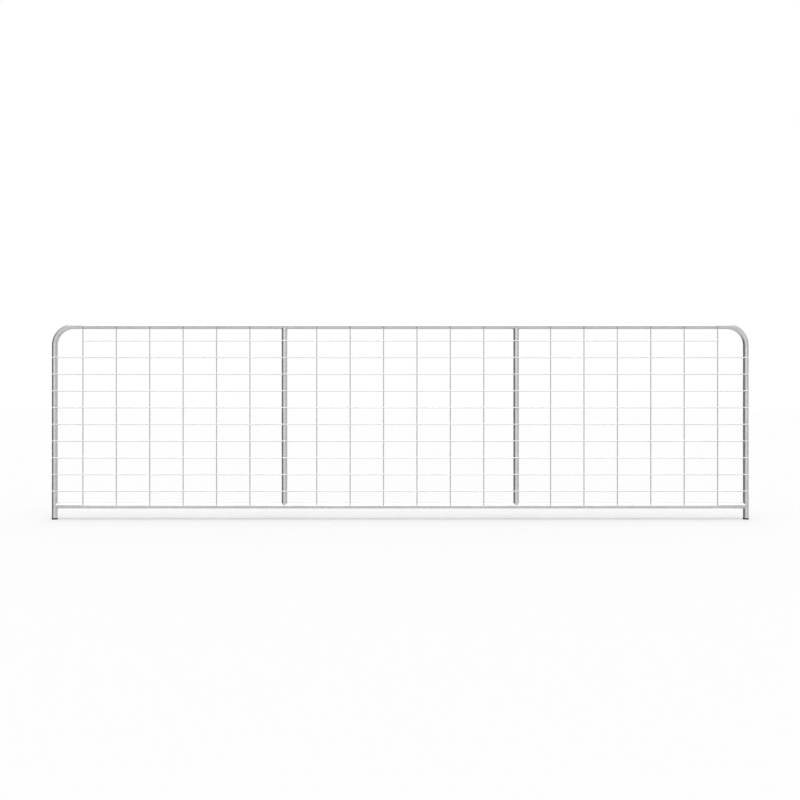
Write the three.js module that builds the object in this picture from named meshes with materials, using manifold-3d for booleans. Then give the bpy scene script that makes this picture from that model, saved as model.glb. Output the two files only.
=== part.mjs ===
// Livestock panel gate: a leaf of galvanised steel pipe with welded wire mesh on one face.
//
// Millimetres, +Z up. The gate's length runs along X and the mesh faces -Y. The origin is on
// the ground, at the middle of the gate.
//
// One pipe, bent at its two top corners, makes both uprights and the top rail. A straight
// bottom rail and two stays are coped to it. Row wires lie across the front of the pipes.
// Column wires hang just behind the rows and end on the front of the two rails.

import * as THREE from 'three';
import { mergeVertices } from 'three/addons/utils/BufferGeometryUtils.js';
import Module from 'manifold-3d';

// ---- Driving dimensions ----

const GATE_LENGTH = 4180; // over the outer edges of the uprights
const GATE_HEIGHT = 1175; // from the ground to the top of the top rail
const RAIL_SPACING = 1076; // between the centre lines of the top and bottom rails
const STAY_SPACING = 1390; // between the centre lines of the two stays
const CORNER_RADIUS = 115; // of the top corner bends, to the pipe's centre line

const PIPE_OD = 33.7;
const PIPE_WALL = 2;

const WIRE_DIAMETER = 6;
const ROW_PITCH = 100;
const ROW_COUNT = 10; // between the rails, besides one border row on each rail
const COLUMN_PITCH = 200;
const COLUMN_PLACES = 20; // the place in front of each stay holds no column
const ROW_END_INSET = 7; // from the outer edge of an upright to the cut end of a row
const CUT_OVERHANG = 6; // of a shorter row, past the centre of the last column

const PLUG_HEAD_DIAMETER = 34.6;
const PLUG_HEAD_HEIGHT = 8;
const PLUG_STEM_DIAMETER = 25;
const PLUG_STEM_HEIGHT = 26;
const PLUG_STEM_WALL = 2;
const PLUG_FLOOR = 3;
const PLUG_CHAMFER = 1.2;
const FIN_COUNT = 3;
const FIN_PITCH = 7;
const FIN_THICKNESS = 1.6;

const GAP = 0.3; // clearance between pieces that touch

const PIPE_SIDES = 24;
const WIRE_SIDES = 8;
const CORNER_STEPS = 12;

// ---- Worked-out dimensions ----

const PIPE_RADIUS = PIPE_OD / 2;
const BORE_RADIUS = PIPE_RADIUS - PIPE_WALL;
const WIRE_RADIUS = WIRE_DIAMETER / 2;
const UPRIGHT_X = GATE_LENGTH / 2 - PIPE_RADIUS;
const TOP_RAIL_Z = GATE_HEIGHT - PIPE_RADIUS;
const BOTTOM_RAIL_Z = TOP_RAIL_Z - RAIL_SPACING;
const MIDDLE_Z = (TOP_RAIL_Z + BOTTOM_RAIL_Z) / 2;

// Depths along Y, from the plane of the pipes' centre lines.
const ROW_Y = -(PIPE_RADIUS + GAP + WIRE_RADIUS);
const COLUMN_Y = ROW_Y + WIRE_DIAMETER + GAP;
const FRONT_Y = ROW_Y - WIRE_RADIUS;
const BACK_Y = PLUG_HEAD_DIAMETER / 2;

const LAST_COLUMN_X = ((COLUMN_PLACES - 1) * COLUMN_PITCH) / 2;
const LONG_ROW = GATE_LENGTH - 2 * ROW_END_INSET;
const SHORT_ROW = 2 * (LAST_COLUMN_X + CUT_OVERHANG);

// ---- Materials ----

function galvanised(shade, roughness) {
  return new THREE.MeshStandardMaterial({ color: shade, roughness, metalness: 0.85 });
}

const pipeZinc = () => galvanised(0xc4c7c9, 0.42);
const wireZinc = () => galvanised(0xc4c7c9, 0.38);

function blackPlastic() {
  return new THREE.MeshStandardMaterial({ color: 0x1b1b1c, roughness: 0.6, metalness: 0 });
}

// ---- Solids and cuts ----

const wasm = await Module();
wasm.setup();

function solidFrom(geometry) {
  const bare = geometry.clone();
  bare.deleteAttribute('normal');
  bare.deleteAttribute('uv');
  const merged = mergeVertices(bare);
  const vertProperties = merged.getAttribute('position').array;
  const triVerts = new Uint32Array(merged.index.array);
  return new wasm.Manifold(new wasm.Mesh({ numProp: 3, vertProperties, triVerts }));
}

function geometryFrom(solid) {
  const { vertProperties, triVerts } = solid.getMesh();
  const shared = new THREE.BufferGeometry();
  shared.setAttribute('position', new THREE.BufferAttribute(vertProperties, 3));
  shared.setIndex(new THREE.BufferAttribute(triVerts, 1));
  const faceted = shared.toNonIndexed();
  faceted.computeVertexNormals();
  return faceted;
}

function circlePoints(radius) {
  const points = [];
  for (let i = 0; i < PIPE_SIDES; i += 1) {
    const angle = (i / PIPE_SIDES) * 2 * Math.PI;
    points.push(new THREE.Vector2(radius * Math.cos(angle), radius * Math.sin(angle)));
  }
  return points;
}

function pipeSection() {
  const section = new THREE.Shape(circlePoints(PIPE_RADIUS));
  section.holes.push(new THREE.Path(circlePoints(BORE_RADIUS)));
  return section;
}

// A round bar along Z, centred on its own origin.
function roundBar(radius, length, sides) {
  return new THREE.CylinderGeometry(radius, radius, length, sides).rotateX(Math.PI / 2);
}

// A straight hollow pipe along Z, centred on its own origin.
function straightPipe(length) {
  const options = { depth: length, bevelEnabled: false };
  return new THREE.ExtrudeGeometry(pipeSection(), options).translate(0, 0, -length / 2);
}

// Saddle-cuts both ends of a bar that stands along Z, to sit against two pipes that lie
// along X. The pipes' centre lines are span apart, and setback behind the bar.
function copeEnds(bar, span, setback) {
  const cutterRadius = PIPE_RADIUS + GAP;
  let solid = solidFrom(bar);
  for (const end of [-1, 1]) {
    const cutter = roundBar(cutterRadius, 2 * PIPE_OD, PIPE_SIDES)
      .rotateY(Math.PI / 2)
      .translate(0, setback, (end * span) / 2);
    solid = solid.subtract(solidFrom(cutter));
  }
  return geometryFrom(solid);
}

// ---- The bent frame pipe ----

// A path with one extrusion step at each of its stations, so that a straight stretch of any
// length is a single step and all the other steps go to the bends.
class StationPath extends THREE.Curve {
  constructor(stations) {
    super();
    this.stations = stations;
  }

  stationAt(u) {
    return this.stations[Math.round(u * (this.stations.length - 1))];
  }

  getPointAt(u) {
    return this.stationAt(u).point.clone();
  }

  getTangentAt(u) {
    return this.stationAt(u).tangent.clone();
  }
}

// Stations along a quarter bend in the XZ plane, from startAngle clockwise to a right angle on.
function bendStations(centreX, startAngle) {
  const centreZ = TOP_RAIL_Z - CORNER_RADIUS;
  const stations = [];
  for (let i = 0; i <= CORNER_STEPS; i += 1) {
    const angle = startAngle - (i / CORNER_STEPS) * (Math.PI / 2);
    const point = new THREE.Vector3(
      centreX + CORNER_RADIUS * Math.cos(angle),
      0,
      centreZ + CORNER_RADIUS * Math.sin(angle),
    );
    const tangent = new THREE.Vector3(Math.sin(angle), 0, -Math.cos(angle));
    stations.push({ point, tangent });
  }
  return stations;
}

// Up the left upright, over the top and down the right upright, open at both feet.
function frameTube() {
  const footZ = PLUG_HEAD_HEIGHT + GAP;
  const stations = [
    { point: new THREE.Vector3(-UPRIGHT_X, 0, footZ), tangent: new THREE.Vector3(0, 0, 1) },
    ...bendStations(-UPRIGHT_X + CORNER_RADIUS, Math.PI),
    ...bendStations(UPRIGHT_X - CORNER_RADIUS, Math.PI / 2),
    { point: new THREE.Vector3(UPRIGHT_X, 0, footZ), tangent: new THREE.Vector3(0, 0, -1) },
  ];
  return new THREE.ExtrudeGeometry(pipeSection(), {
    steps: stations.length - 1,
    extrudePath: new StationPath(stations),
  });
}

// ---- Rail, stays, wires and plugs ----

function copedPipe(span) {
  return copeEnds(straightPipe(span), span, 0);
}

function columnWire() {
  const bar = roundBar(WIRE_RADIUS, RAIL_SPACING, WIRE_SIDES);
  return copeEnds(bar, RAIL_SPACING, -COLUMN_Y);
}

function rowWire(length) {
  return roundBar(WIRE_RADIUS, length, WIRE_SIDES);
}

// A moulded insert plug, standing on its head: a chamfered head that covers the pipe's cut
// end, and a hollow stem with ring fins that grip the bore.
function footPlug() {
  const headRadius = PLUG_HEAD_DIAMETER / 2;
  const stemRadius = PLUG_STEM_DIAMETER / 2;
  const finRadius = BORE_RADIUS - GAP;
  const stemTop = PLUG_HEAD_HEIGHT + PLUG_STEM_HEIGHT;
  const profile = [
    [0, 0],
    [headRadius - PLUG_CHAMFER, 0],
    [headRadius, PLUG_CHAMFER],
    [headRadius, PLUG_HEAD_HEIGHT],
    [stemRadius, PLUG_HEAD_HEIGHT],
  ];
  for (let i = 0; i < FIN_COUNT; i += 1) {
    const finBottom = PLUG_HEAD_HEIGHT + PLUG_FLOOR + i * FIN_PITCH;
    const finTop = finBottom + FIN_THICKNESS;
    profile.push([stemRadius, finBottom], [finRadius, finBottom], [finRadius, finTop], [stemRadius, finTop]);
  }
  profile.push(
    [stemRadius, stemTop],
    [stemRadius - PLUG_STEM_WALL, stemTop],
    [stemRadius - PLUG_STEM_WALL, PLUG_FLOOR],
    [0, PLUG_FLOOR],
  );
  const points = profile.map(([radius, height]) => new THREE.Vector2(radius, height));
  return new THREE.LatheGeometry(points, PIPE_SIDES).rotateX(Math.PI / 2);
}

// ---- Assembly ----

const leaf = new THREE.Group();
leaf.position.y = -(FRONT_Y + BACK_Y) / 2;

function place(name, geometry, material, x, y, z) {
  const mesh = new THREE.Mesh(geometry, material);
  mesh.name = name;
  mesh.position.set(x, y, z);
  leaf.add(mesh);
  return mesh;
}

// Turns a piece made along Z to lie along X.
function lieAlongX(mesh) {
  mesh.rotation.y = Math.PI / 2;
}

place('frame_tube', frameTube(), pipeZinc(), 0, 0, 0);
lieAlongX(place('bottom_rail', copedPipe(2 * UPRIGHT_X), pipeZinc(), 0, 0, BOTTOM_RAIL_Z));

for (const [side, sign] of [['left', -1], ['right', 1]]) {
  place(`stay_${side}`, copedPipe(RAIL_SPACING), pipeZinc(), (sign * STAY_SPACING) / 2, 0, MIDDLE_Z);
  place(`foot_plug_${side}`, footPlug(), blackPlastic(), sign * UPRIGHT_X, 0, 0);
}

// Row 1 is the lowest. The highest row stops at the last columns, clear of the corner bends.
for (let row = 1; row <= ROW_COUNT; row += 1) {
  const length = row === ROW_COUNT ? SHORT_ROW : LONG_ROW;
  const z = MIDDLE_Z + (row - (ROW_COUNT + 1) / 2) * ROW_PITCH;
  const name = `row_wire_${String(row).padStart(2, '0')}`;
  lieAlongX(place(name, rowWire(length), wireZinc(), 0, ROW_Y, z));
}

for (const [rail, z] of [['bottom', BOTTOM_RAIL_Z], ['top', TOP_RAIL_Z]]) {
  lieAlongX(place(`border_wire_${rail}`, rowWire(SHORT_ROW), wireZinc(), 0, ROW_Y, z));
}

let column = 0;
for (let i = 0; i < COLUMN_PLACES; i += 1) {
  const x = i * COLUMN_PITCH - LAST_COLUMN_X;
  const behindStay = Math.abs(Math.abs(x) - STAY_SPACING / 2) < PIPE_RADIUS;
  if (!behindStay) {
    column += 1;
    const name = `column_wire_${String(column).padStart(2, '0')}`;
    place(name, columnWire(), wireZinc(), x, COLUMN_Y, MIDDLE_Z);
  }
}

export default leaf;
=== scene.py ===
"""Looks of the livestock panel gate: round pipes and wires with their welds, in a plain studio.

Metres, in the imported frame: X along the gate, the mesh on the -Y side, +Z up.
"""

import math
import random

import bmesh
import bpy
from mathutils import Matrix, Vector


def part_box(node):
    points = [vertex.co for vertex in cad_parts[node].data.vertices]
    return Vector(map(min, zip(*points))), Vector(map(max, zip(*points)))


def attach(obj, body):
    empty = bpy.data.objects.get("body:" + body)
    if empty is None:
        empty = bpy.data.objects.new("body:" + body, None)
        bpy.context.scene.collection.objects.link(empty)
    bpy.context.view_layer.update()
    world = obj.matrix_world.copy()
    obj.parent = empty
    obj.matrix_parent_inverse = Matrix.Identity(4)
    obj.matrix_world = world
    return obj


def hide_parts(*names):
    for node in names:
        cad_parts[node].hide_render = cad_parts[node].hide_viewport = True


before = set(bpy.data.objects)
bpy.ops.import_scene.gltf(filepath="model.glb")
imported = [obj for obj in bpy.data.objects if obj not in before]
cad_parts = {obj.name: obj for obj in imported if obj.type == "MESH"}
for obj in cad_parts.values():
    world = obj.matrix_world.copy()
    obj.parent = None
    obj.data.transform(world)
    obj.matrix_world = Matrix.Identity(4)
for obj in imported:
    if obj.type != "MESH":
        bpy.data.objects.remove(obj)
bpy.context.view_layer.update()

BODY = "root"
MM = 0.001
LEFT = Vector((-1, 0, 0))
RIGHT = Vector((1, 0, 0))
DEEP = Vector((0, 1, 0))
UP = Vector((0, 0, 1))

# ---- Sizes that the frame's boxes don't give ----

CORNER_RADIUS = 115 * MM  # of the top corner bends, to the pipe's centre line
PIPE_WALL = 2 * MM
CUT_EDGE = 0.4 * MM  # burr taken off a cut pipe end
WELD_SINK = 0.5 * MM  # how far two welded surfaces run into each other

PIPE_SIDES = 48
WIRE_SIDES = 16
CORNER_STEPS = 28
SHARP_ANGLE = math.radians(40)

# ---- Places read from the frame ----


def centre_of(node):
    low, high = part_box(node)
    return (low + high) / 2


tube_low, tube_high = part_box("frame_tube")
PIPE_RADIUS = (tube_high.y - tube_low.y) / 2
PIPE_Y = (tube_high.y + tube_low.y) / 2
BORE_RADIUS = PIPE_RADIUS - PIPE_WALL
UPRIGHT_X = tube_high.x - PIPE_RADIUS
TOP_RAIL_Z = tube_high.z - PIPE_RADIUS
BOTTOM_RAIL_Z = centre_of("bottom_rail").z
FOOT_Z = tube_low.z

STAY_NODES = ("stay_left", "stay_right")
PLUG_NODES = ("foot_plug_left", "foot_plug_right")
BORDER_NODES = ("border_wire_bottom", "border_wire_top")
ROW_NODES = sorted(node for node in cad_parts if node.startswith("row_wire"))
COLUMN_NODES = sorted(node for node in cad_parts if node.startswith("column_wire"))
row_low, row_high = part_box(ROW_NODES[0])
WIRE_RADIUS = (row_high.z - row_low.z) / 2
ROW_Y = (row_high.y + row_low.y) / 2
COLUMN_Y = centre_of(COLUMN_NODES[0]).y
PIPE_FRONT_Y = PIPE_Y - PIPE_RADIUS


# ---- Mesh building ----


def ring(centre, across, radius, sides):
    """Points round a section: across is the section's direction in the gate's own plane."""
    points = []
    for i in range(sides):
        angle = 2 * math.pi * i / sides
        points.append(centre + across * (radius * math.cos(angle)) + DEEP * (radius * math.sin(angle)))
    return points


def skin(rings, loop=False):
    """Vertices and faces through rings of equal length, joined in a loop or capped at both ends."""
    sides = len(rings[0])
    vertices = [point for one in rings for point in one]
    faces = []
    for i in range(len(rings) if loop else len(rings) - 1):
        start = i * sides
        after = (i + 1) % len(rings) * sides
        for j in range(sides):
            k = (j + 1) % sides
            faces.append((start + j, start + k, after + k, after + j))
    if not loop:
        last = (len(rings) - 1) * sides
        faces.append(tuple(range(sides)))
        faces.append(tuple(last + j for j in range(sides)))
    return vertices, faces


def make_piece(name, shells, material, slot, *nodes):
    """One riding piece out of closed shells, with outward faces and smooth shading."""
    mesh = bpy.data.meshes.new(name)
    build = bmesh.new()
    for vertices, faces in shells:
        made = [build.verts.new(v) for v in vertices]
        for face in faces:
            build.faces.new([made[i] for i in face])
    bmesh.ops.recalc_face_normals(build, faces=build.faces)
    build.to_mesh(mesh)
    build.free()
    mesh.shade_smooth()
    mesh.set_sharp_from_angle(angle=SHARP_ANGLE)
    mesh.materials.append(material)
    piece = bpy.data.objects.new(name, mesh)
    bpy.context.scene.collection.objects.link(piece)
    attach(piece, BODY)
    if nodes:
        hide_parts(*nodes)


# ---- Shader node helpers ----


def new_material(name):
    material = bpy.data.materials.new(name)
    material.use_nodes = True
    return material, material.node_tree, material.node_tree.nodes["Principled BSDF"]


def add_node(tree, kind, inputs=None, **settings):
    """A shader node with its settings, and its inputs given as plain values or as sockets to link."""
    node = tree.nodes.new(kind)
    for key, value in settings.items():
        setattr(node, key, value)
    for key, value in (inputs or {}).items():
        if isinstance(value, bpy.types.NodeSocket):
            tree.links.new(value, node.inputs[key])
        else:
            node.inputs[key].default_value = value
    return node


def object_position(tree):
    return add_node(tree, "ShaderNodeTexCoord").outputs["Object"]


def noise(tree, position, scale, detail=4.0, output="Fac"):
    inputs = {"Vector": position, "Scale": scale, "Detail": detail, "Roughness": 0.55}
    return add_node(tree, "ShaderNodeTexNoise", inputs).outputs[output]


def stretched(tree, position, scale):
    inputs = {"Vector": position, "Scale": scale}
    return add_node(tree, "ShaderNodeMapping", inputs).outputs["Vector"]


def ragged(tree, position, scale, amount):
    """The position pushed about by amount, so that a pattern laid on it gets uneven outlines."""
    push = noise(tree, position, scale, output="Color")
    inputs = {0: push, 1: (amount, amount, amount), 2: position}
    return add_node(tree, "ShaderNodeVectorMath", inputs, operation="MULTIPLY_ADD").outputs["Vector"]


def crystals(tree, position, size, feature="F1"):
    """Random-celled pattern, the cells about size across."""
    inputs = {"Vector": position, "Scale": 1 / size, "Randomness": 1.0}
    return add_node(tree, "ShaderNodeTexVoronoi", inputs, feature=feature).outputs


def remap(tree, value, from_low, from_high, to_low, to_high):
    """The value taken smoothly from one range to another, and held at the ends."""
    inputs = {
        "Value": value,
        "From Min": from_low,
        "From Max": from_high,
        "To Min": to_low,
        "To Max": to_high,
    }
    node = add_node(tree, "ShaderNodeMapRange", inputs, interpolation_type="SMOOTHSTEP")
    return node.outputs["Result"]


def combine(tree, operation, first, second):
    inputs = {0: first, 1: second}
    return add_node(tree, "ShaderNodeMath", inputs, operation=operation).outputs["Value"]


def mixture(tree, first, second, share):
    """Two patterns added, the second one by its share and the first by the rest."""
    weighted_first = combine(tree, "MULTIPLY", first, 1 - share)
    weighted_second = combine(tree, "MULTIPLY", second, share)
    return combine(tree, "ADD", weighted_first, weighted_second)


def greys(tree, factor, low, high):
    """A colour from one grey level to another, as factor goes from 0 to 1."""
    ramp = add_node(tree, "ShaderNodeValToRGB", {"Fac": factor})
    ramp.color_ramp.elements[0].color = (low, low, low, 1)
    ramp.color_ramp.elements[1].color = (high, high, high, 1)
    return ramp.outputs["Color"]


def bump(tree, height, distance, strength=1.0, under=None):
    inputs = {"Height": height, "Distance": distance, "Strength": strength}
    if under is not None:
        inputs["Normal"] = under
    return add_node(tree, "ShaderNodeBump", inputs).outputs["Normal"]


# ---- Materials ----

METAL = 1.0

# Darkest and lightest grey level.
PIPE_GREYS = (0.54, 0.665)
WIRE_GREYS = (0.495, 0.61)
WELD_GREYS = (0.36, 0.60)
PLASTIC_GREYS = (0.010, 0.075)  # clean and scuffed

# Smoothest and roughest. Zinc stays above 0.28: a range from 0.26 to 0.32 rendered half as grainy again.
PIPE_ROUGHNESS = (0.285, 0.345)
WIRE_ROUGHNESS = (0.285, 0.33)
WELD_ROUGHNESS = (0.38, 0.58)
PLASTIC_ROUGHNESS = (0.5, 0.66)

# Cells in a metre.
CLOUD_SCALE = 7.0
RUN_SCALE = 26.0
SPECKLE_SCALE = 420.0
LUMP_SCALE = 260.0
SCRATCH_SCALE = 900.0
MOULD_SCALE = 2600.0

# Heights of the relief.
BORDER_DEPTH = 0.02 * MM
RUN_DEPTH = 0.1 * MM
SPECKLE_DEPTH = 0.03 * MM
LUMP_DEPTH = 0.3 * MM
MOULD_DEPTH = 0.05 * MM

NOISE_RANGE = (0.3, 0.7)  # where most of a noise lies
MIXTURE_RANGE = (0.2, 0.8)  # and most of a mixture of noise and crystals

PIPE_SPANGLE = 9 * MM  # size of the zinc's crystals
WIRE_SPANGLE = 4 * MM
PUSH_SCALE = 0.6  # waves in a crystal's length, of the noise that makes its outline uneven
PUSH_AMOUNT = 0.5  # of a crystal's size
BORDER_WIDTH = 0.12  # of a crystal's size
RUN_STRETCH = (1.0, 1.0, 0.12)  # zinc runs down as it drains
RUN_SHARE = 0.4  # of the weather, the rest being cloud
CRYSTAL_TONE_SHARE = 0.3
CRYSTAL_GLOSS_SHARE = 0.4

SCUFF_HEIGHT = 4 * MM  # scuffs fade out up to here
SCUFF_LEFT = 0.15  # how much of them is left above it
SCRATCH_RANGE = (0.5, 0.75)
PLASTIC_SHINE = 0.35


def zinc(name, levels, roughness, spangle, relief_strength):
    """Hot-dip zinc: crystals of slightly different tone and gloss, under cloudy oxide and drained runs."""
    material, tree, shader = new_material(name)
    position = object_position(tree)
    uneven = ragged(tree, position, PUSH_SCALE / spangle, PUSH_AMOUNT * spangle)
    cells = add_node(tree, "ShaderNodeSeparateColor", {"Color": crystals(tree, uneven, spangle)["Color"]})
    cloud = noise(tree, position, CLOUD_SCALE)
    runs = noise(tree, stretched(tree, position, RUN_STRETCH), RUN_SCALE, detail=2.0)
    weather = mixture(tree, cloud, runs, RUN_SHARE)

    tone = mixture(tree, weather, cells.outputs["Red"], CRYSTAL_TONE_SHARE)
    tone = remap(tree, tone, *MIXTURE_RANGE, 0.0, 1.0)
    tree.links.new(greys(tree, tone, *levels), shader.inputs["Base Color"])
    worn = mixture(tree, weather, cells.outputs["Green"], CRYSTAL_GLOSS_SHARE)
    tree.links.new(remap(tree, worn, *MIXTURE_RANGE, *roughness), shader.inputs["Roughness"])

    border = crystals(tree, uneven, spangle, feature="DISTANCE_TO_EDGE")["Distance"]
    crystal = remap(tree, border, 0.0, BORDER_WIDTH, 0.0, 1.0)
    relief = bump(tree, crystal, BORDER_DEPTH, relief_strength)
    relief = bump(tree, runs, RUN_DEPTH, relief_strength, under=relief)
    speckle = noise(tree, position, SPECKLE_SCALE, detail=2.0)
    relief = bump(tree, speckle, SPECKLE_DEPTH, relief_strength, under=relief)
    tree.links.new(relief, shader.inputs["Normal"])
    shader.inputs["Metallic"].default_value = METAL
    return material


def weld_zinc():
    """Zinc over a weld: duller, darker and lumpy."""
    material, tree, shader = new_material("weld_zinc")
    lumps = noise(tree, object_position(tree), LUMP_SCALE, detail=5.0)
    tree.links.new(greys(tree, lumps, *WELD_GREYS), shader.inputs["Base Color"])
    tree.links.new(remap(tree, lumps, *NOISE_RANGE, *WELD_ROUGHNESS), shader.inputs["Roughness"])
    tree.links.new(bump(tree, lumps, LUMP_DEPTH), shader.inputs["Normal"])
    shader.inputs["Metallic"].default_value = METAL
    return material


def plug_plastic():
    """Black moulded plastic with a fine texture and pale scuffs towards the ground."""
    material, tree, shader = new_material("plug_plastic")
    position = object_position(tree)
    height = add_node(tree, "ShaderNodeSeparateXYZ", {"Vector": position}).outputs["Z"]
    low_down = remap(tree, height, 0.0, SCUFF_HEIGHT, 1.0, SCUFF_LEFT)
    scratches = noise(tree, position, SCRATCH_SCALE, detail=6.0)
    scratches = remap(tree, scratches, *SCRATCH_RANGE, 0.0, 1.0)
    scuffs = combine(tree, "MULTIPLY", scratches, low_down)
    tree.links.new(greys(tree, scuffs, *PLASTIC_GREYS), shader.inputs["Base Color"])
    texture = noise(tree, position, MOULD_SCALE, detail=2.0)
    tree.links.new(remap(tree, texture, *NOISE_RANGE, *PLASTIC_ROUGHNESS), shader.inputs["Roughness"])
    tree.links.new(bump(tree, texture, MOULD_DEPTH, strength=0.5), shader.inputs["Normal"])
    shader.inputs["Specular IOR Level"].default_value = PLASTIC_SHINE
    return material


PIPE_ZINC = zinc("pipe_zinc", PIPE_GREYS, PIPE_ROUGHNESS, PIPE_SPANGLE, relief_strength=0.4)
WIRE_ZINC = zinc("wire_zinc", WIRE_GREYS, WIRE_ROUGHNESS, WIRE_SPANGLE, relief_strength=0.2)
WELD_ZINC = weld_zinc()
PLUG_PLASTIC = plug_plastic()


# ---- Frame pipe ----


def bend(centre, start_angle):
    """Stations round a quarter bend, clockwise from start_angle: a centre and an outward direction each."""
    stations = []
    for i in range(CORNER_STEPS + 1):
        angle = start_angle - math.pi / 2 * i / CORNER_STEPS
        outward = Vector((math.cos(angle), 0, math.sin(angle)))
        stations.append((centre + outward * CORNER_RADIUS, outward))
    return stations


def hollow(stations, outer, inner, sides):
    """A hollow pipe through stations, with the burr taken off both edges of its two cut ends."""
    first, last = stations[0], stations[-1]
    outside = [ring(centre, across, outer, sides) for centre, across in stations]
    inside = [ring(centre, across, inner, sides) for centre, across in stations]
    rings = [
        ring(*first, outer - CUT_EDGE, sides),
        *outside[1:-1],
        ring(*last, outer - CUT_EDGE, sides),
        ring(*last, inner + CUT_EDGE, sides),
        *inside[-2:0:-1],
        ring(*first, inner + CUT_EDGE, sides),
    ]
    return skin(rings, loop=True)


def frame_pipe():
    bend_x = UPRIGHT_X - CORNER_RADIUS
    bend_z = TOP_RAIL_Z - CORNER_RADIUS
    burr = UP * CUT_EDGE
    left_foot = Vector((-UPRIGHT_X, PIPE_Y, FOOT_Z))
    right_foot = Vector((UPRIGHT_X, PIPE_Y, FOOT_Z))
    stations = [
        (left_foot, LEFT),
        (left_foot + burr, LEFT),
        *bend(Vector((-bend_x, PIPE_Y, bend_z)), math.pi),
        *bend(Vector((bend_x, PIPE_Y, bend_z)), math.pi / 2),
        (right_foot + burr, RIGHT),
        (right_foot, RIGHT),
    ]
    shell = hollow(stations, PIPE_RADIUS, BORE_RADIUS, PIPE_SIDES)
    make_piece("frame_pipe", [shell], PIPE_ZINC, "zinc_pipe", "frame_tube")


# ---- Pieces coped to round pipes ----


def saddle(y):
    """How far from a pipe's centre line a bar's cut end stands, at depth y: on the pipe, sunk in a little."""
    reach = PIPE_RADIUS - WELD_SINK
    return math.sqrt(max(reach**2 - (y - PIPE_Y) ** 2, 0.0))


def coped_ring(end, into_bar, across, radius, sides):
    """A bar's cut end, against the pipe whose centre line crosses at end; into_bar points along the bar."""
    points = []
    for point in ring(end, across, radius, sides):
        points.append(point + into_bar * saddle(point.y))
    return points


def coped_bar(start, finish, across, radius, sides, bore=None):
    """A bar between the centre lines of two pipes, saddle-cut at both ends, solid or with a bore."""
    along = (finish - start).normalized()
    low = coped_ring(start, along, across, radius, sides)
    high = coped_ring(finish, -along, across, radius, sides)
    if bore is None:
        return skin([low, high])
    bore_low = coped_ring(start, along, across, bore, sides)
    bore_high = coped_ring(finish, -along, across, bore, sides)
    return skin([low, high, bore_high, bore_low], loop=True)


def pipe_between(node, start, finish, across):
    shell = coped_bar(start, finish, across, PIPE_RADIUS, PIPE_SIDES, bore=BORE_RADIUS)
    make_piece(f"{node}_pipe", [shell], PIPE_ZINC, "zinc_pipe", node)


def bottom_rail():
    start = Vector((-UPRIGHT_X, PIPE_Y, BOTTOM_RAIL_Z))
    finish = Vector((UPRIGHT_X, PIPE_Y, BOTTOM_RAIL_Z))
    pipe_between("bottom_rail", start, finish, UP)


def stay(node):
    x = centre_of(node).x
    start = Vector((x, PIPE_Y, BOTTOM_RAIL_Z))
    finish = Vector((x, PIPE_Y, TOP_RAIL_Z))
    pipe_between(node, start, finish, RIGHT)


# ---- Wires ----

# A row wire's end: how far in from it, in mm, and how thick there, times the wire's radius.
WIRE_END_PROFILE = ((0.0, 0.55), (0.25, 0.86), (0.8, 1.03), (1.6, 1.05), (3.0, 1.0))


def row_wire(node):
    """A drawn wire whose sheared ends are rounded by a little gathered zinc."""
    low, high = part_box(node)
    centre = (low + high) / 2
    sections = [(low.x + inset * MM, swell) for inset, swell in WIRE_END_PROFILE]
    sections += [(high.x - inset * MM, swell) for inset, swell in reversed(WIRE_END_PROFILE)]
    rings = []
    for x, swell in sections:
        rings.append(ring(Vector((x, centre.y, centre.z)), UP, WIRE_RADIUS * swell, WIRE_SIDES))
    make_piece(f"{node}_drawn", [skin(rings)], WIRE_ZINC, "zinc_wire", node)


def column_wire(node):
    x = centre_of(node).x
    start = Vector((x, COLUMN_Y, BOTTOM_RAIL_Z))
    finish = Vector((x, COLUMN_Y, TOP_RAIL_Z))
    shell = coped_bar(start, finish, RIGHT, WIRE_RADIUS, WIRE_SIDES)
    make_piece(f"{node}_drawn", [shell], WIRE_ZINC, "zinc_wire", node)


# ---- Foot plugs ----

PLUG_EDGE = 0.8 * MM  # rounding of the head's two edges
PLUG_WALL = 2 * MM
PLUG_FLOOR = 3 * MM  # under the hollow, and from the head to the first fin
PLUG_CHAMFER = 1.2 * MM
PLUG_CLEARANCE = 0.3 * MM  # from the head to the pipe's end, and from the fins to the bore
PLUG_CAP_RADIUS = MM  # of the flat faces that close the profile in the middle
STEM_RADIUS = 12.5 * MM
FIN_COUNT = 3
FIN_PITCH = 7 * MM
FIN_THICKNESS = 1.6 * MM
FIN_SLOPE = 0.5 * MM  # the fins narrow towards their tips


def arc(centre_radius, centre_z, radius, start, finish, steps=6):
    """Profile points round an edge: its centre, its radius, and its first and last angle."""
    points = []
    for i in range(steps + 1):
        angle = start + (finish - start) * i / steps
        points.append((centre_radius + radius * math.cos(angle), centre_z + radius * math.sin(angle)))
    return points


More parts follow.
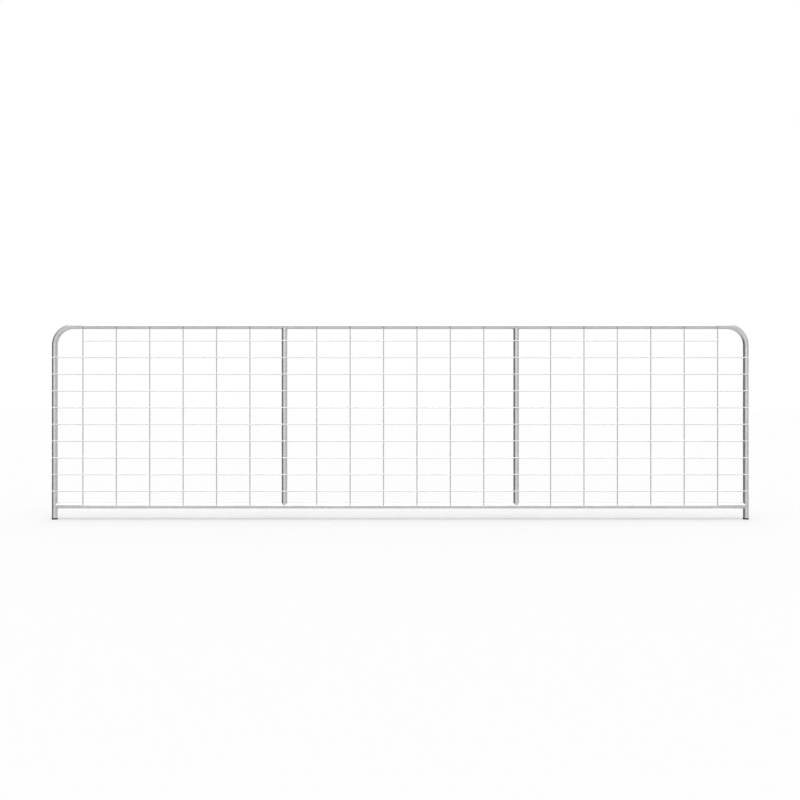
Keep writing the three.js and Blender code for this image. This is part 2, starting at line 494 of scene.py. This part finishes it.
def plug_profile(low_z, high_z, head_radius):
    """Half section of the plug, from the middle of its underside to the middle of its hollow's floor."""
    head_top = FOOT_Z - PLUG_CLEARANCE
    edge = head_radius - PLUG_EDGE
    profile = [(PLUG_CAP_RADIUS, low_z)]
    profile += arc(edge, low_z + PLUG_EDGE, PLUG_EDGE, -math.pi / 2, 0)
    profile += arc(edge, head_top - PLUG_EDGE, PLUG_EDGE, 0, math.pi / 2)
    profile.append((STEM_RADIUS, head_top))
    fin_tip = BORE_RADIUS - PLUG_CLEARANCE
    for i in range(FIN_COUNT):
        fin_z = head_top + PLUG_FLOOR + FIN_PITCH * i
        profile.append((STEM_RADIUS, fin_z))
        profile.append((fin_tip, fin_z + FIN_SLOPE))
        profile.append((fin_tip, fin_z + FIN_THICKNESS - FIN_SLOPE / 2))
        profile.append((STEM_RADIUS, fin_z + FIN_THICKNESS))
    profile.append((STEM_RADIUS, high_z - PLUG_CHAMFER))
    profile.append((STEM_RADIUS - PLUG_CHAMFER, high_z))
    profile.append((STEM_RADIUS - PLUG_WALL, high_z))
    profile.append((STEM_RADIUS - PLUG_WALL, low_z + PLUG_FLOOR))
    profile.append((PLUG_CAP_RADIUS, low_z + PLUG_FLOOR))
    return profile


def foot_plug(node):
    low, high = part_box(node)
    middle = (low + high) / 2
    rings = []
    for radius, z in plug_profile(low.z, high.z, (high.x - low.x) / 2):
        rings.append(ring(Vector((middle.x, PIPE_Y, z)), RIGHT, radius, PIPE_SIDES))
    make_piece(f"{node}_moulded", [skin(rings)], PLUG_PLASTIC, "plug_plastic", node)


# ---- Welds round the pipe joints ----

BEAD_STEPS = 240
BEAD_SIDES = 12
BEAD_SEED = 11
BEAD_RIPPLES = 56
BEAD_RIPPLE_HEIGHT = 0.06  # of the bead's own size, as is the unevenness
BEAD_UNEVENNESS = 0.05
BEAD_HALF_WIDTH = 2.2 * MM
BEAD_CROWN = 0.6 * MM  # where the two pipes meet flush, at the front and back
BEAD_FILLET = 1.2 * MM  # how much more it fills where they meet square
BEAD_TURN_OUT = 2  # how strongly it leans to the front and back, away from between the pipes
APEX_SOFTNESS = 0.035  # rounds the seam's sharp turns at the front and back


def bead(end, into_bar, across, seed):
    """A weld round a coped pipe end whose pipe runs along into_bar, laid in overlapping ripples."""
    draw = random.Random(seed)
    path = []
    lifts = []
    crowns = []
    for i in range(BEAD_STEPS):
        angle = 2 * math.pi * i / BEAD_STEPS
        side = math.cos(angle)
        depth = math.sin(angle)
        apex = math.sqrt(APEX_SOFTNESS) / 2 * (1 - side**2)
        rise = PIPE_RADIUS * (math.sqrt(side**2 + APEX_SOFTNESS) - apex)
        path.append(end + across * (PIPE_RADIUS * side) + DEEP * (PIPE_RADIUS * depth) + into_bar * rise)
        lifts.append(across * side + into_bar * abs(side) + DEEP * (BEAD_TURN_OUT * depth))
        crowns.append(BEAD_CROWN + BEAD_FILLET * side**2)
    rings = []
    for i in range(BEAD_STEPS):
        tangent = (path[(i + 1) % BEAD_STEPS] - path[i - 1]).normalized()
        lift = (lifts[i] - tangent * lifts[i].dot(tangent)).normalized()
        flank = tangent.cross(lift)
        ripple = BEAD_RIPPLE_HEIGHT * math.sin(2 * math.pi * BEAD_RIPPLES * i / BEAD_STEPS)
        swell = 1 + ripple + BEAD_UNEVENNESS * (draw.random() - 0.5)
        section = []
        for j in range(BEAD_SIDES):
            turn = 2 * math.pi * j / BEAD_SIDES
            height = lift * (crowns[i] * swell * math.cos(turn))
            spread = flank * (BEAD_HALF_WIDTH * swell * math.sin(turn))
            section.append(path[i] + height + spread)
        rings.append(section)
    return skin(rings, loop=True)


def frame_welds():
    seed = BEAD_SEED
    for side, into_rail in (("left", RIGHT), ("right", LEFT)):
        corner = Vector((-UPRIGHT_X * into_rail.x, PIPE_Y, BOTTOM_RAIL_Z))
        make_piece(f"weld_rail_{side}", [bead(corner, into_rail, UP, seed)], WELD_ZINC, "zinc_pipe")
        x = centre_of(f"stay_{side}").x
        for place, z, into_stay in (("bottom", BOTTOM_RAIL_Z, UP), ("top", TOP_RAIL_Z, -UP)):
            seed += 1
            shell = bead(Vector((x, PIPE_Y, z)), into_stay, RIGHT, seed)
            make_piece(f"weld_stay_{side}_{place}", [shell], WELD_ZINC, "zinc_pipe")
        seed += 1


# ---- Spot and tack welds ----

NUGGET_AROUND = 16
NUGGET_LEVELS = 8
NUGGET_UNEVENNESS = 0.12

SPOT_SEED = 5
SPOT_SPREAD = 1.1  # times the wire's radius
SPOT_VARIATION = 0.12
SPOT_HALF_DEPTH = 0.8 * MM
ROW_TACK_SEED = 7
ROW_TACK = (4.2 * MM, 1.3 * MM, 1.35 * WIRE_RADIUS)  # half sizes, as are the others
ROW_TACK_VARIATION = 0.2  # of its width
RAIL_TACK_SEED = 8
COLUMN_TACK = (4.4 * MM, 2.6 * MM, 6.0 * MM)
COLUMN_TACK_TURN = math.radians(27)  # how far round the rail's front the column wires are welded to it
BORDER_TACK = (3.6 * MM, 1.2 * MM, 1.3 * WIRE_RADIUS)
BORDER_TACK_DRIFT = 2 * MM  # the most that two of them stray from each other along the rail


def nugget(centre, half_x, half_y, half_z, draw):
    """A small rounded lump of weld metal."""
    rings = []
    for i in range(1, NUGGET_LEVELS):
        polar = math.pi * i / NUGGET_LEVELS
        level = []
        for j in range(NUGGET_AROUND):
            angle = 2 * math.pi * j / NUGGET_AROUND
            wide = math.sin(polar) * (1 + NUGGET_UNEVENNESS * (draw.random() - 0.5))
            x = half_x * wide * math.cos(angle)
            z = half_z * wide * math.sin(angle)
            level.append(centre + Vector((x, half_y * math.cos(polar), z)))
        rings.append(level)
    return skin(rings)


def mesh_welds():
    """Resistance welds: a little squeezed-out metal where each row crosses a column."""
    draw = random.Random(SPOT_SEED)
    contact_y = (ROW_Y + COLUMN_Y) / 2
    columns = [centre_of(node).x for node in COLUMN_NODES]
    for node in ROW_NODES:
        z = centre_of(node).z
        shells = []
        for x in columns:
            half = WIRE_RADIUS * (SPOT_SPREAD + SPOT_VARIATION * draw.random())
            shells.append(nugget(Vector((x, contact_y, z)), half, SPOT_HALF_DEPTH, half, draw))
        make_piece(f"spots_{node}", shells, WELD_ZINC, "zinc_wire")


def row_tacks():
    """Tacks that hold the row wires on the uprights and stays; the top row stops short of the uprights."""
    draw = random.Random(ROW_TACK_SEED)
    half_x, half_y, half_z = ROW_TACK
    heights = [centre_of(node).z for node in ROW_NODES]
    places = [("upright_left", -UPRIGHT_X, heights[:-1]), ("upright_right", UPRIGHT_X, heights[:-1])]
    for node in STAY_NODES:
        places.append((node, centre_of(node).x, heights))
    for place, x, levels in places:
        shells = []
        for z in levels:
            wide = half_x * (1 + ROW_TACK_VARIATION * (draw.random() - 0.5))
            shells.append(nugget(Vector((x, PIPE_FRONT_Y, z)), wide, half_y, half_z, draw))
        make_piece(f"tacks_{place}", shells, WELD_ZINC, "zinc_pipe")


def rail_tacks():
    """Tacks that hold the column wires' ends and the border wires on the two rails."""
    draw = random.Random(RAIL_TACK_SEED)
    tack_y = PIPE_Y - PIPE_RADIUS * math.cos(COLUMN_TACK_TURN)
    tack_rise = PIPE_RADIUS * math.sin(COLUMN_TACK_TURN)
    for place, rail_z, into_column in (("bottom_rail", BOTTOM_RAIL_Z, 1), ("top_rail", TOP_RAIL_Z, -1)):
        shells = []
        for node in COLUMN_NODES:
            x = centre_of(node).x
            foot = Vector((x, tack_y, rail_z + into_column * tack_rise))
            shells.append(nugget(foot, *COLUMN_TACK, draw))
            drift = BORDER_TACK_DRIFT * (draw.random() - 0.5)
            shells.append(nugget(Vector((x + drift, PIPE_FRONT_Y, rail_z)), *BORDER_TACK, draw))
        make_piece(f"tacks_{place}", shells, WELD_ZINC, "zinc_pipe")


# ---- Studio ----

CAMERA_DISTANCE = 6.0  # from the plane of the pipes
CAMERA_HEIGHT = 0.716
CAMERA_OFFSET = -1.8 * MM
VIEW_WIDTH = 4.801  # what the view takes in, in the plane of the pipes
CLIP_END = 200.0
FLOOR_HALF = 60.0
FLOOR_ALBEDO = 0.625


def camera():
    data = bpy.data.cameras.new("camera")
    data.lens = data.sensor_width * CAMERA_DISTANCE / VIEW_WIDTH
    data.clip_end = CLIP_END
    item = bpy.data.objects.new("camera", data)
    bpy.context.scene.collection.objects.link(item)
    item.location = (CAMERA_OFFSET, PIPE_Y - CAMERA_DISTANCE, CAMERA_HEIGHT)
    item.rotation_euler = (math.pi / 2, 0, 0)
    bpy.context.scene.camera = item


def floor():
    """A wide white floor that catches the shadow but isn't mirrored in the zinc."""
    material, _, shader = new_material("floor_white")
    shader.inputs["Base Color"].default_value = (FLOOR_ALBEDO, FLOOR_ALBEDO, FLOOR_ALBEDO, 1)
    shader.inputs["Roughness"].default_value = 1.0
    shader.inputs["Specular IOR Level"].default_value = 0.0
    mesh = bpy.data.meshes.new("floor")
    half = FLOOR_HALF
    corners = [(-half, -half, 0), (half, -half, 0), (half, half, 0), (-half, half, 0)]
    mesh.from_pydata(corners, [], [(0, 1, 2, 3)])
    mesh.materials.append(material)
    item = bpy.data.objects.new("floor", mesh)
    bpy.context.scene.collection.objects.link(item)
    item.visible_glossy = False


BASE_LIGHT = 0.83

# Soft lobes of light, or of shade, on the studio's walls. Each has its direction, the cosines of the angles
# off it at which the lobe starts and is full, and its strength.
LIGHT_LOBES = (
    ((0.0, -0.30, 1.0), 0.80, 0.97, 3.3),  # softbox overhead, a little towards the camera
    ((-1.0, 0.1, 0.0), 0.70, 0.93, -0.79),  # dark wall at the left
    ((-0.6, -0.8, 0.0), 0.80, 1.00, -0.10),  # a little shade at the front left
    ((0.0, -1.0, 0.24), 0.90, 0.99, 0.78),  # window behind the camera
    ((0.0, 1.0, 0.9), 0.78, 0.96, 0.55),  # white wall behind the gate
    ((0.0, -0.6, -0.8), 0.80, 0.98, 0.15),  # pale floor in front
)


def lobe(tree, direction, axis, start, full, strength):
    """A lobe's strength towards a direction: nothing beyond its start, and all of it where it is full."""
    inputs = {0: direction, 1: tuple(Vector(axis).normalized())}
    facing = add_node(tree, "ShaderNodeVectorMath", inputs, operation="DOT_PRODUCT").outputs["Value"]
    return remap(tree, facing, start, full, 0.0, strength)


def studio_light():
    """A world of soft lobes for the light, and plain white where the camera looks straight at it."""
    world = bpy.data.worlds.new("studio")
    bpy.context.scene.world = world
    world.use_nodes = True
    tree = world.node_tree
    direction = add_node(tree, "ShaderNodeTexCoord").outputs["Generated"]
    strength = BASE_LIGHT
    for settings in LIGHT_LOBES:
        strength = combine(tree, "ADD", lobe(tree, direction, *settings), strength)
    white = (1, 1, 1, 1)
    light = add_node(tree, "ShaderNodeBackground", {"Color": white, "Strength": strength}).outputs[0]
    backdrop = add_node(tree, "ShaderNodeBackground", {"Color": white, "Strength": 1.0}).outputs[0]
    seen = add_node(tree, "ShaderNodeLightPath").outputs["Is Camera Ray"]
    mix = add_node(tree, "ShaderNodeMixShader", {0: seen, 1: light, 2: backdrop})
    tree.links.new(mix.outputs[0], tree.nodes["World Output"].inputs["Surface"])


# ---- Making ----

bpy.context.scene.view_settings.view_transform = "Standard"
camera()
floor()
studio_light()

frame_pipe()
bottom_rail()
for stay_node in STAY_NODES:
    stay(stay_node)
for wire_node in (*ROW_NODES, *BORDER_NODES):
    row_wire(wire_node)
for wire_node in COLUMN_NODES:
    column_wire(wire_node)
for plug_node in PLUG_NODES:
    foot_plug(plug_node)
frame_welds()
mesh_welds()
row_tacks()
rail_tacks()
